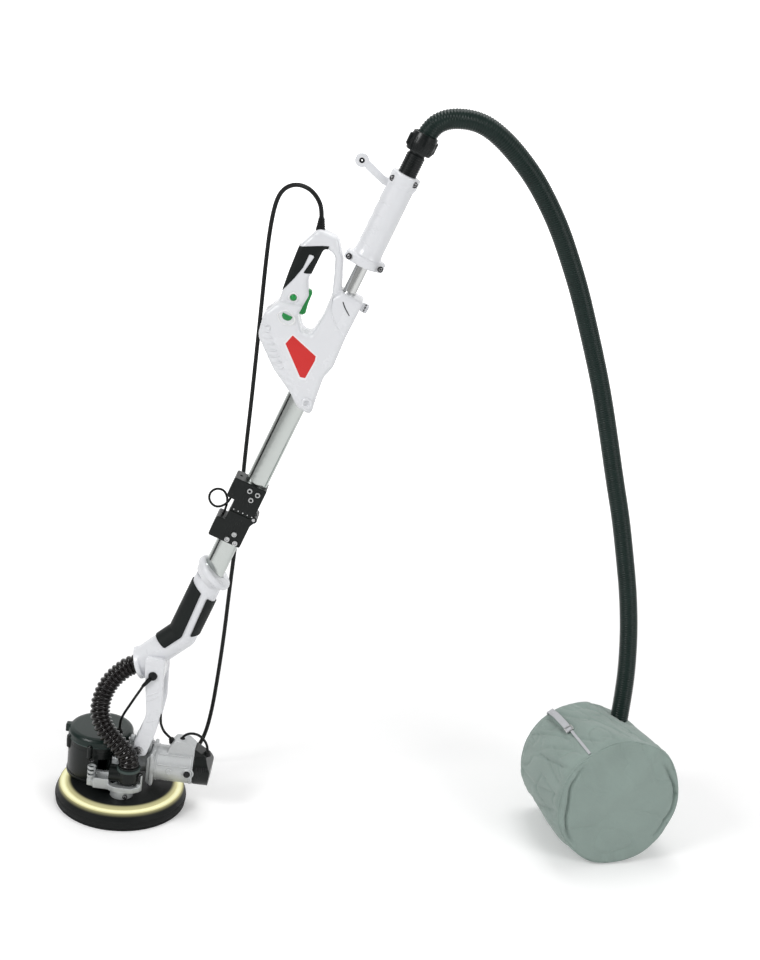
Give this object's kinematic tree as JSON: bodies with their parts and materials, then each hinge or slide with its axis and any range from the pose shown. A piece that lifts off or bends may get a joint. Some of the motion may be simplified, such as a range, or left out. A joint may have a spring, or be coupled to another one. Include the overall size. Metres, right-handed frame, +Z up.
{
  "type": "pole drywall sander",
  "caption": "Long-reach drywall sander: round lit sanding head on a two-axis swivel, folding and telescoping pole, trigger housing, hose and dust bag.",
  "frame": {"origin": "centre of the sanding disc's working face, on the floor", "axes": "+Z up, the pole leans towards +X in the XZ plane, +Y to the back"},
  "size_m": [1.2127, 0.39, 1.3839],
  "materials": {
    "white_plastic": "satin moulded",
    "black_plastic": "matte moulded",
    "dark_green_plastic": "satin",
    "black_rubber": "matte",
    "green_plastic": "satin",
    "polished_aluminium": "polished",
    "cast_aluminium": "satin cast",
    "chrome": "bright",
    "steel": "machined",
    "copper": "wound",
    "light_lens": "translucent",
    "abrasive": "grit",
    "foam": "soft",
    "hose_black": "ribbed",
    "bag_cloth": "woven"
  },
  "bodies": {
    "handle": {"fold_upper_block": "black_plastic", "main_tube": "polished_aluminium", "housing_near": "white_plastic", "housing_far": "white_plastic", "tube_bush": "black_plastic", "switch_module": "black_plastic", "handle_screws": "steel", "cord_relief": "black_rubber", "mains_cord": "black_rubber", "cord_coil": "black_rubber", "plug": "black_rubber", "fold_cable": "black_rubber"},
    "trigger": {"trigger": "green_plastic"},
    "lock_button": {"lock_button": "green_plastic"},
    "speed_dial": {"speed_dial": "green_plastic"},
    "clamp_knob": {"clamp_knob": "white_plastic"},
    "extension": {"extension_tube": "chrome", "rear_grip_near": "white_plastic", "rear_grip_far": "white_plastic", "hook_arm": "white_plastic", "rear_screws": "steel", "hose_spigot": "black_plastic", "vacuum_hose": "hose_black", "dust_bag": "bag_cloth"},
    "hose_nut": {"hose_nut": "black_plastic"},
    "lower_arm": {"lower_arm_near": "white_plastic", "lower_arm_far": "white_plastic", "lower_grip": "black_rubber", "lower_tube": "polished_aluminium", "fold_lower_block": "black_plastic", "fold_hinge_pin": "steel", "lower_screws": "steel", "fork": "white_plastic", "cable_gland": "black_rubber", "head_hose_upper": "hose_black", "cables_upper": "black_rubber"},
    "swivel": {"swivel_block": "cast_aluminium"},
    "head": {"shroud": "black_plastic", "light_ring": "light_lens", "brush_skirt": "black_plastic", "gear_housing": "cast_aluminium", "bearings": "steel", "motor_housing": "cast_aluminium", "motor_end_cap": "black_plastic", "field_core": "copper", "motor_brushes": "black_plastic", "blower_housing": "black_plastic", "blower_lid": "dark_green_plastic", "blower_motor": "steel", "dust_elbow": "black_rubber", "elbow_bracket": "cast_aluminium", "roll_pin": "steel", "head_hose_lower": "hose_black", "cables_lower": "black_rubber"},
    "pad": {"sanding_disc": "abrasive", "backing_pad": "foam", "spindle": "steel", "bevel_gear": "steel"},
    "armature": {"armature": "steel"},
    "blower_fan": {"blower_fan": "black_plastic"}
  },
  "joints": [
    {"name": "fold", "type": "hinge", "parent": "handle", "child": "lower_arm", "pos_m": [0.20849, 0, 0.61483], "axis": [0, -1, 0], "range_deg": [0, 160], "deforming": ["fold_cable"]},
    {"name": "head_pitch", "type": "hinge", "parent": "lower_arm", "child": "swivel", "pos_m": [0.034, 0, 0.128], "axis": [0, 1, 0], "range_deg": [-27, 28], "deforming": ["head_hose_upper", "cables_upper"]},
    {"name": "head_roll", "type": "hinge", "parent": "swivel", "child": "head", "pos_m": [0.034, 0, 0.128], "axis": [1, 0, 0], "range_deg": [-14, 14], "deforming": ["head_hose_lower", "cables_lower"]},
    {"name": "disc_spin", "type": "hinge", "parent": "head", "child": "pad", "pos_m": [0, 0, 0], "axis": [0, 0, 1], "continuous": true},
    {"name": "armature_spin", "type": "hinge", "parent": "head", "child": "armature", "pos_m": [0, 0, 0.088], "axis": [1, 0, 0], "continuous": true},
    {"name": "fan_spin", "type": "hinge", "parent": "head", "child": "blower_fan", "pos_m": [-0.066, 0.033, 0.054], "axis": [0, 0, 1], "continuous": true},
    {"name": "trigger_pull", "type": "hinge", "parent": "handle", "child": "trigger", "pos_m": [0.24409, 0, 1.00714], "axis": [0, -1, 0], "range_deg": [0, 6], "stiffness_Nm_per_rad": 1.5, "springref_deg": -2.86},
    {"name": "lock_press", "type": "slide", "parent": "handle", "child": "lock_button", "axis": [0, 1, 0], "range_m": [0, 0.003], "stiffness_N_per_m": 300, "springref_m": -0.001},
    {"name": "dial_turn", "type": "hinge", "parent": "handle", "child": "speed_dial", "pos_m": [0.23191, -0.0215, 0.99658], "axis": [0.3308, 0, 0.9437], "range_deg": [0, 270]},
    {"name": "knob_turn", "type": "hinge", "parent": "handle", "child": "clamp_knob", "pos_m": [0.35921, 0, 1.02719], "axis": [0.9437, 0, -0.3308], "range_deg": [0, 180]},
    {"name": "extension_slide", "type": "slide", "parent": "handle", "child": "extension", "axis": [0.3308, 0, 0.9437], "range_m": [0, 0.2]},
    {"name": "nut_turn", "type": "hinge", "parent": "extension", "child": "hose_nut", "pos_m": [0.43048, 0, 1.32116], "axis": [0.3308, 0, 0.9437], "continuous": true}
  ],
  "couplings": [
    {"joint": "armature_spin", "follows": "disc_spin", "ratio": 2.3333}
  ]
}
